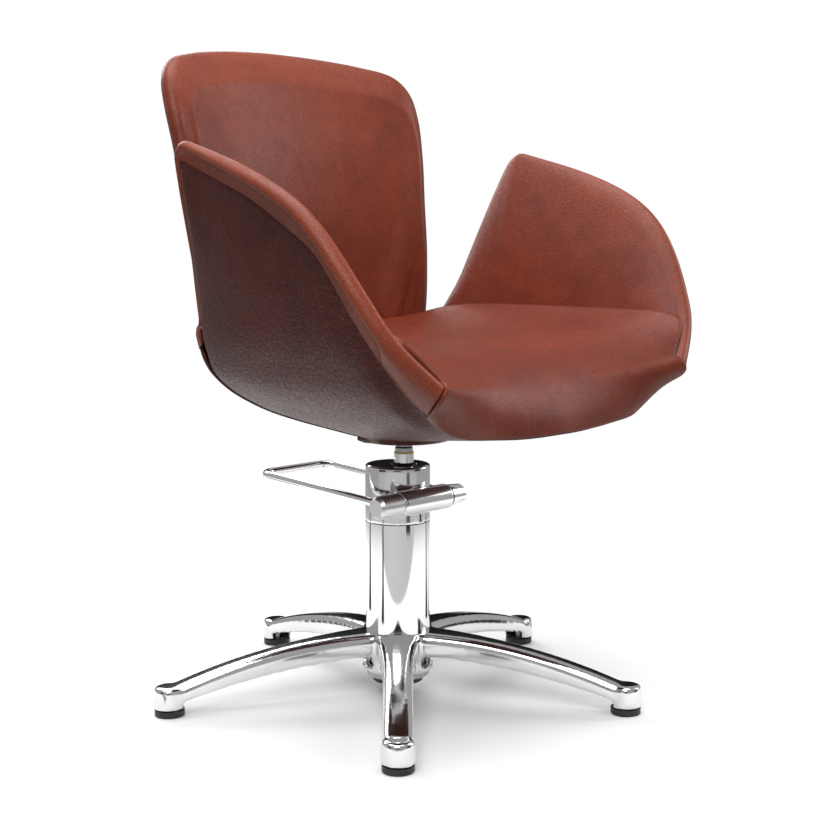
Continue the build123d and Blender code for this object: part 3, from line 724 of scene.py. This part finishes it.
def through_rows(rows, wanted):
    """Smooth surface through rows of points; wanted counts in rows, 1.5 is between rows 1 and 2"""
    rows = np.array(rows)
    count = rows.shape[1]
    flat = rows.reshape(len(rows), -1)
    gaps = np.linalg.norm(np.diff(rows, axis=0), axis=2).mean(1)
    knots = np.concatenate([[0], np.cumsum(np.sqrt(gaps))])
    at = np.interp(wanted, np.arange(len(rows)), knots)
    return hermite(flat, tangents(flat, knots), knots, np.asarray(at)).reshape(-1, count, 3)


def unit(vectors):
    return vectors / (np.linalg.norm(vectors, axis=-1)[..., None] + 1e-9)


def arm_rows():
    """Lines along the left arm that its leather is stretched over, from its foot to its outer seam"""
    rim = joined_curve(RIM_REAR, RIM_CREST, REAR_COUNT, CREST_COUNT)
    seam = joined_curve(SEAM_REAR, SEAM_CREST, REAR_COUNT, CREST_COUNT)
    count = len(rim)
    share = np.linspace(0, 1, count)
    foot_line = smooth_curve(ARM_FOOT, 400)
    lowest = next(j for j in range(REAR_COUNT, count) if rim[j, 2] < 466)
    along = np.interp(np.arange(count), [0, REAR_COUNT - 1, lowest], [0, TIP_SHARE, 1])
    foot = np.stack([np.interp(along * 399, np.arange(400), foot_line[:, k]) for k in range(3)], 1)
    foot[lowest:] = rim[lowest:]
    height = np.linalg.norm(rim - foot, axis=1)[:, None]
    bulge = np.array([-1.0, 0, 0]) * height * 0.035
    down = smooth_step((share - 0.72) / 0.28)[:, None]
    across = unit(np.array([1.0, 0, 0]) * (1 - down) + np.array([0.55, -0.45, -0.70]) * down)
    thick = lookup(RIM_THICK, 1, share)[:, None]
    outer = rim + across * thick
    up = unit(rim - foot + np.array([0, 0, 1e-3]))
    up[lowest - 12:] = up[lowest - 12]
    ahead = unit(np.gradient(rim, axis=0))
    up = unit(np.cross(ahead, across) * np.sign(np.sum(np.cross(ahead, across) * up, axis=1))[:, None])
    top = (rim + outer) / 2 + up * thick * 0.42
    out = unit(np.cross(ahead, seam - outer))
    out *= np.sign(np.sum(out * (outer - ARM_CENTRE), axis=1))[:, None]
    wide = np.linalg.norm(seam - outer, axis=1)[:, None]
    band = (outer + seam) / 2 + out * np.minimum(wide * 0.09, 3.5)
    tuck = seam + unit(ARM_CENTRE - seam) * 4
    rows = [foot]
    for t in (0.05, 0.3, 0.55, 0.8):
        rows.append(foot + (rim - foot) * t + bulge * 4 * t * (1 - t))
    return rows + [rim, top, outer, band, seam, tuck]


# places among those lines
FOOT_ROW, RIM_ROW, OUTER_ROW, SEAM_ROW, TUCK_ROW = 0, 5, 7, 9, 10


def arm_liner_grid():
    """Inner face, rounded rim and bevel band of the left arm"""
    wanted = np.concatenate([
        np.linspace(0, RIM_ROW, 36)[:-1],
        np.linspace(RIM_ROW, OUTER_ROW, 9)[:-1],
        np.linspace(OUTER_ROW, SEAM_ROW, 12),
        [TUCK_ROW],
    ])
    grid = through_rows(arm_rows(), wanted)
    # lighter towards the rim's crest, top and band: part wear, part painted highlight where light from
    # above falls
    worn_and_lit_rows = [0, 3.6, RIM_ROW, 6, OUTER_ROW, SEAM_ROW, TUCK_ROW]
    worn_and_lit = np.interp(wanted, worn_and_lit_rows, [0, 0.05, 0.45, 0.8, 0.7, 0.4, 0])
    return grid, np.repeat(worn_and_lit[:, None], grid.shape[1], 1)


def outer_panel_grid():
    """Left outside panel, from the collar up to the arm's seam"""
    seam = joined_curve(SEAM_REAR, SEAM_CREST, REAR_COUNT, CREST_COUNT)
    front = smooth_curve(SEAM_FRONT, 60)
    seam = np.vstack([seam, front[1:]])
    angle = np.arctan2(seam[:, 1], seam[:, 0])
    angle = np.minimum.accumulate(angle)
    dense = np.linspace(0, 1, 90)[:, None] ** 2.0
    z = 321.0 + (seam[:, 2][None, :] - 321.0) * dense
    turn = np.broadcast_to(angle[None, :], z.shape)
    radius = bowl_radius(turn, z)
    grid = np.stack([radius * np.cos(turn), radius * np.sin(turn), z], 2)
    # the last part is led to the seam itself
    lead = smooth_step((dense - 0.6) / 0.4)
    grid = grid + lead[:, :, None] * (seam - grid[-1])[None, :, :]
    return even_rows(grid, 64)


def even_rows(grid, count):
    """Same surface with rows at even steps along each column"""
    steps = np.linalg.norm(np.diff(grid, axis=0), axis=2)
    run = np.vstack([np.zeros(grid.shape[1]), np.cumsum(steps, axis=0)])
    out = np.empty((count, grid.shape[1], 3))
    for j in range(grid.shape[1]):
        wanted = np.linspace(0, run[-1, j], count)
        for k in range(3):
            out[:, j, k] = np.interp(wanted, run[:, j], grid[:, j, k])
    return out


PANEL_ANGLE = math.radians(31.0)     # the back panel's side seams, from straight sideways
BACK_COUNT = 81
BACK_SEAM_DEPTH = 27.0


def back_half_width(z):
    """Half width of the back at a height"""
    side = smooth_curve(BACK_SIDE, 200)
    top = side[:, 0] > 0
    return np.interp(z, side[top, 1], side[top, 0])


def back_panel_grid():
    """Outside of the back, from the collar up to its top seam"""
    u = np.linspace(-1, 1, BACK_COUNT)[None, :]
    low_z = 321.0 + (800.0 - 321.0) * np.linspace(0, 1, 120)[:, None] ** 1.3
    z = low_z + 0 * u
    turn = math.pi / 2 - u * (math.pi / 2 - PANEL_ANGLE)
    bowl_z = np.minimum(z, 520)
    radius = bowl_radius(turn, bowl_z)
    bowl = np.stack([radius * np.cos(turn), radius * np.sin(turn), z], 2)
    top = 793 - 22 * np.abs(u) ** 4
    z_back = np.minimum(z, top)
    x = u * back_half_width(np.clip(z_back, 448, 795)) * 0.985
    edge = np.maximum(np.abs(u) ** 4, 1 - smooth_step((800 - z_back) / 70.0))
    back = back_point(x, z_back, BACK_SEAM_DEPTH + (BACK_THICK - BACK_SEAM_DEPTH) * (1 - edge))
    mixed = smooth_step((z - 425) / 60.0)[:, :, None]
    return even_rows(bowl * (1 - mixed) + back * mixed, 96)


def back_ring(count):
    """Outline of the back seen from the front, from the foot of its left side over the top"""
    half = smooth_curve(BACK_SIDE, count)
    other = half[::-1][1:] * (-1, 1)
    return np.vstack([half, other])


def back_liner_grid():
    """Front face, bevelled edge and side band of the back"""
    ring = back_ring(90)
    count = len(ring)
    ahead = unit(np.gradient(ring, axis=0))
    inward = np.stack([-ahead[:, 1], ahead[:, 0]], 1)
    crest = ring + inward * 5.0
    root = np.stack([np.linspace(1, -1, count) * 176.0, np.full(count, 446.0)], 1)
    lines = []
    for inset in (None, 120.0, 70.0, 40.0, 31.0, 24.0, 12.0, 4.0):
        if inset is None:
            flat = root
            depth = np.full(count, 2.0)
        else:
            run = np.linalg.norm(crest - root, axis=1)
            t = np.maximum(1 - inset / np.maximum(run, 1), 0.04)[:, None]
            t = np.minimum(np.maximum(t, 0.1 * len(lines)), 0.999)
            flat = root + (crest - root) * t
            gap = np.linalg.norm(crest - flat, axis=1)
            near = np.clip(1 - gap / 32.0, 0, 1)
            crown = 5.0 * smooth_step(gap / 140) * smooth_step((flat[:, 1] - 446) / 60)
            depth = 2.0 + 12.0 * near ** 1.2 - crown
        lines.append(back_point(flat[:, 0], flat[:, 1], depth))
    shallow = np.interp(ring[:, 1], [448, 510], [0.95, 1.0])
    lines.append(back_point(ring[:, 0], ring[:, 1], 19.0 * shallow))
    seam_flat = ring + inward * 3.0
    lines.append(back_point(seam_flat[:, 0], seam_flat[:, 1], BACK_SEAM_DEPTH * shallow))
    tuck = ring + inward * 9.0
    lines.append(back_point(tuck[:, 0], tuck[:, 1], (BACK_SEAM_DEPTH + 2) * shallow))
    wanted = np.concatenate([
        np.linspace(0, 3, 16)[:-1],
        np.linspace(3, 7, 17)[:-1],
        np.linspace(7, 9, 12),
        [10],
    ])
    grid = through_rows(lines, wanted)
    # lighter towards the bevelled border: part wear, part painted highlight
    worn_and_lit = np.interp(wanted, [0, 3, 4, 7, 8, 9, 10], [0.1, 0.12, 0.25, 0.4, 0.35, 0.2, 0])
    return grid, np.repeat(worn_and_lit[:, None], count, 1), lines


SEAT_MIDDLE = [
    (168, 450), (120, 444), (40, 440), (-60, 440), (-140, 438), (-190, 425), (-222, 400), (-239, 374),
    (-243, 353),
]
SEAT_ROWS = 140


def seat_rail():
    """Left edge of the seat's leather: the arm's foot, the rim's front, then across to the outer seam"""
    rim_end = [p for p in RIM_CREST if p[2] < 462]
    end = through_rows(arm_rows(), np.array([5.0, 6.0, 7.0, 8.0, 9.0]))[:, -1]
    return smooth_curve(ARM_FOOT + rim_end[:-1] + [tuple(p) for p in end], SEAT_ROWS)


def seat_grid():
    """Top of the seat and its roll over the front"""
    rail = seat_rail()
    centre_line = smooth_curve(SEAT_MIDDLE, SEAT_ROWS)
    u = np.linspace(-1, 1, 121)
    wide = np.abs(u)
    share = np.arange(SEAT_ROWS)[:, None] / (SEAT_ROWS - 1)
    front = smooth_step((share - 0.65) / 0.35)
    x = rail[:, 0:1] * u
    rise = wide ** 3.6 * (1 - front) + wide ** 3.3 * front
    z = centre_line[:, 1:2] + (rail[:, 2:3] - centre_line[:, 1:2]) * rise
    y = centre_line[:, 0:1] + (rail[:, 1:2] - centre_line[:, 0:1]) * wide ** 2
    grid = np.stack([x, y, z], 2)
    crown = smooth_step(share / 0.15) * smooth_step((1 - share) / 0.25) * (1 - wide ** 2) ** 0.8
    grid[:, :, 2] += 5.0 * crown
    front_seam = smooth_curve(SEAM_FRONT, 61)
    seam = np.vstack([mirrored(front_seam), front_seam[::-1][1:]])
    lead = smooth_step((share - 0.9) / 0.1)[:, :, None]
    return grid + lead * (seam - grid[-1])[None, :, :]


def notch_grid(samples=24, across=10):
    """Rolled saddle at the foot of the notch between the left arm and the back"""
    s = np.linspace(0, 1, samples)[None, :]
    t = np.linspace(0, 1, across)[:, None]
    inner = smooth_curve([(183, 121), (176, 126), (176, 134), (180, 140)], samples)
    turn = np.linspace(math.atan2(118, 203), math.atan2(166, 189), samples)
    reach = bowl_radius(turn, np.full(samples, 452.0)) - 2.0
    outer = np.stack([reach * np.cos(turn), reach * np.sin(turn)], 1)
    plan = inner[None, :, :] * (1 - t[:, :, None]) + outer[None, :, :] * t[:, :, None]
    dip = 462 - 9 * np.sin(math.pi * np.clip(s, 0, 1)) + 3.5 * np.sin(math.pi * t) - 5 * (t - 0.5) ** 2
    z = np.broadcast_to(dip, plan.shape[:2])
    grid = np.concatenate([plan, z[:, :, None]], 2)
    lower = grid[-1:] * (0.985, 0.985, 1.0) + (0.0, 0.0, -14.0)
    first = grid[:1] + np.array([-1.0, 0.0, -12.0])
    return np.concatenate([first, grid, lower], 0)


def seam_shade_tube(name, line, radius=1.3, closed=False):
    """Dark tube in the gap of a seam between two leathers: painted shade"""
    return dress(tube_piece(name, line, radius, 10, closed), SEAM_SHADE)


# near-black brown of the seam gaps: painted shade
SEAM_SHADE = plastic("seam shadow", (0.022, 0.006, 0.004), 0.7)


def both_sides(name, grid, at, facing, thickness, material, rubbed=None):
    """Leather layer on the left and its mirror image on the right"""
    pieces = []
    for side, flip in (("left", 1), ("right", -1)):
        moved = placed(grid if flip == 1 else mirrored(grid))
        outward = (facing[0] * flip, facing[1], facing[2])
        piece = skin_piece(f"{name}_{side}", moved, at, outward, thickness, rubbed)
        pieces.append(dress(piece, material))
    return pieces


def both_lines(line, normals):
    """A stitch line and its mirror image"""
    return [(placed(line), normals), (placed(mirrored(line)), mirrored(normals))]


def upholster():
    """All the leather of the shell, with its stitches and the painted shade along its seams"""
    liner, liner_wear_light = arm_liner_grid()
    arms = both_sides("arm_liner", liner, (15, 130), (-1, 0, 0.1), 2.5, INNER, liner_wear_light)
    for side, arm in zip(("left", "right"), arms):
        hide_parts(f"arm_pad_{side}", f"arm_rim_{side}")
    panel = outer_panel_grid()
    panels = both_sides("outer_panel", panel, (40, 150), (1, -0.3, 0), 2, OUTER)
    for side, piece in zip(("left", "right"), panels):
        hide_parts(f"outer_cover_{side}")
    saddles = both_sides("notch_saddle", notch_grid(), (5, 10), (0, 0, 1), 4, INNER)
    back_outside = back_panel_grid()
    back_panel = skin_piece("back_panel", placed(back_outside), (60, 40), (0, 1, 0), 4)
    dress(back_panel, OUTER)
    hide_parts("back_cover")
    liner_back, back_wear_light, back_lines = back_liner_grid()
    back = skin_piece("back_liner", placed(liner_back), (12, 90), (0, -1, 0), 6, back_wear_light)
    dress(back, INNER)
    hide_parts("back_pad", "back_rim")
    top = seat_grid()
    seat = skin_piece("seat_liner", placed(top), (60, 60), (0, 0, 1), 6)
    dress(seat, INNER)
    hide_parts("seat_cushion", "seat_front")
    padded = [*arms, *panels, *saddles, back_panel, back, seat]
    lines = arm_rows()
    # dark tubes along the seams: painted shade in the seam gaps
    seam_shades = []
    for side, turn in (("left", placed), ("right", lambda points: placed(mirrored(points)))):
        seam_shades.append(seam_shade_tube(f"arm_seam_{side}", turn(lines[SEAM_ROW][2:])))
        seam_shades.append(seam_shade_tube(f"seat_seam_{side}", turn(lines[FOOT_ROW][6:-30]), 1.0))
    seam_shades.append(seam_shade_tube("front_seam", placed(top[-1])))
    seam_shades.append(seam_shade_tube("back_seam", placed(back_lines[9])))
    sewn = sew(lines, top, back_lines)
    board = shell_board(panel, back_outside)
    for piece in (*padded, *seam_shades, *sewn, board):
        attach(piece, "seat")


def sew(arm_lines, top, back_lines):
    """Stitches along the seams"""
    near_seam = through_rows(arm_lines, [SEAM_ROW - 0.18, SEAM_ROW - 0.08])
    near_foot = through_rows(arm_lines, [1.0, 1.2])
    rows = []
    for pair, facing in ((near_seam, None), (near_foot, np.array([-1.0, 0, 0.2]))):
        line = pair[0][8:-6]
        out = unit(np.cross(np.gradient(line, axis=0), pair[1][8:-6] - line))
        toward = line - ARM_CENTRE if facing is None else np.broadcast_to(facing, line.shape)
        out *= np.sign(np.sum(out * toward, axis=1))[:, None]
        if facing is not None:
            line, out = line[:-36], out[:-36]
        rows += both_lines(line, out)
    for place in (-3, -8):
        band = through_rows(arm_lines, np.linspace(RIM_ROW + 0.5, SEAM_ROW - 0.1, 24))
        line = band[:, place]
        out = unit(np.cross(np.gradient(line, axis=0), band[:, place - 3] - line))
        out *= np.sign(np.sum(out * (line - ARM_CENTRE), axis=1))[:, None]
        rows += both_lines(line, out)
    arm = stitch_row("arm_stitches", rows)
    front_row = top[-6]
    out = unit(np.cross(np.gradient(front_row, axis=0), top[-7] - front_row))
    out *= np.sign(np.sum(out * np.array([0, -1.0, -0.3]), axis=1))[:, None]
    front = stitch_row("front_stitches", [(placed(front_row), out)])
    line = through_rows(back_lines, [8.72])[0]
    out = line - np.array([0, 190.0, 600.0])
    out[:, 1] = 0
    back = stitch_row("back_stitches", [(placed(line), unit(out))])
    return [arm, front, back]


def shell_board(panel, back_outside):
    """The moulded shell under the leather, a layer inside the outer skin"""
    parts = [panel[4:38, :], mirrored(panel[4:38, :])[:, ::-1], back_outside[4:-8, 5:-5]]
    points, faces = [], []
    for grid in parts:
        normals = unit(np.cross(np.gradient(grid, axis=1), np.gradient(grid, axis=0)))
        middle_point = np.array([0.0, -60.0, 560.0])
        normals *= np.sign(np.sum(normals * (grid - middle_point), axis=2))[:, :, None]
        inside = (grid - normals * 9.0)[::2, ::2]
        faces += grid_faces(*inside.shape[:2], first=len(points))
        points += list(placed(inside).reshape(-1, 3))
    board = new_mesh("shell_board", points, faces)
    layer = board.modifiers.new("thickness", "SOLIDIFY")
    layer.thickness = 0.006
    layer.offset = 0
    settle(board)
    dress(board, BEECH)
    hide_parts("shell_core")
    return board


# ---- metal ----

def cast_piece(name, node, grain, passes, material):
    """Casting with softly blended corners, made from the plain part of the same name"""
    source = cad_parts[node]
    mesh = source.data.copy()
    piece = bpy.data.objects.new(name, mesh)
    bpy.context.scene.collection.objects.link(piece)
    solid = piece.modifiers.new("solid", "REMESH")
    solid.mode = "VOXEL"
    solid.voxel_size = grain * MM
    soft = piece.modifiers.new("soft", "SMOOTH")
    soft.factor = 0.5
    soft.iterations = passes
    settle(piece)
    dress(piece, material)
    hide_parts(node)
    return piece


FINISHES = {
    "column_tube": CHROME,
    "ram": CHROME,
    "spindle": TURNED,
    "thrust_washer": BRONZE,
    "spindle_bush": BRONZE,
    "guide_bush": BRONZE,
    "shaft_bushes": BRONZE,
    "cross_shaft": TURNED,
    "pedal_loop": CHROME,
    "pedal_hub": SATIN,
    "pedal_knob": CHROME,
    "hub_screws": ZINC,
    "lever_pin": ZINC,
    "pump_lever": PUMP_STEEL,
    "pump_plunger": TURNED,
    "plunger_spring": ZINC,
    "valve_balls": TURNED,
    "valve_block": PUMP_STEEL,
    "piston": BRONZE,
    "reservoir_tube": PUMP_STEEL,
    "cylinder_tube": PUMP_STEEL,
    "pump_bottom_cap": BLACK,
    "hub_nut": ZINC,
    "filler_screw": ZINC,
    "glide_studs": ZINC,
    "rod_collar": BLACK,
    "rod_seal": BLACK,
    "rod_wiper": BLACK,
    "piston_seal": BLACK,
    "shaft_ring": BLACK,
    "seat_plate": PAINT,
    "taper_socket": PAINT,
    "plate_bolts": ZINC,
    "tee_nuts": ZINC,
}
for number in range(1, 6):
    FINISHES[f"foot_glide_{number}"] = BLACK


def finish_metal():
    """Castings with blended corners, and a finish on every plain part"""
    base = cast_piece("base_casting", "star_base", 2.6, 10, CASTING)
    head = cast_piece("head_casting", "pump_head", 1.3, 6, CASTING)
    for piece in (base, head):
        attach(piece, "base")
    for node, material in FINISHES.items():
        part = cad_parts[node]
        for slot in part.material_slots:
            slot.material = material


upholster()
finish_metal()
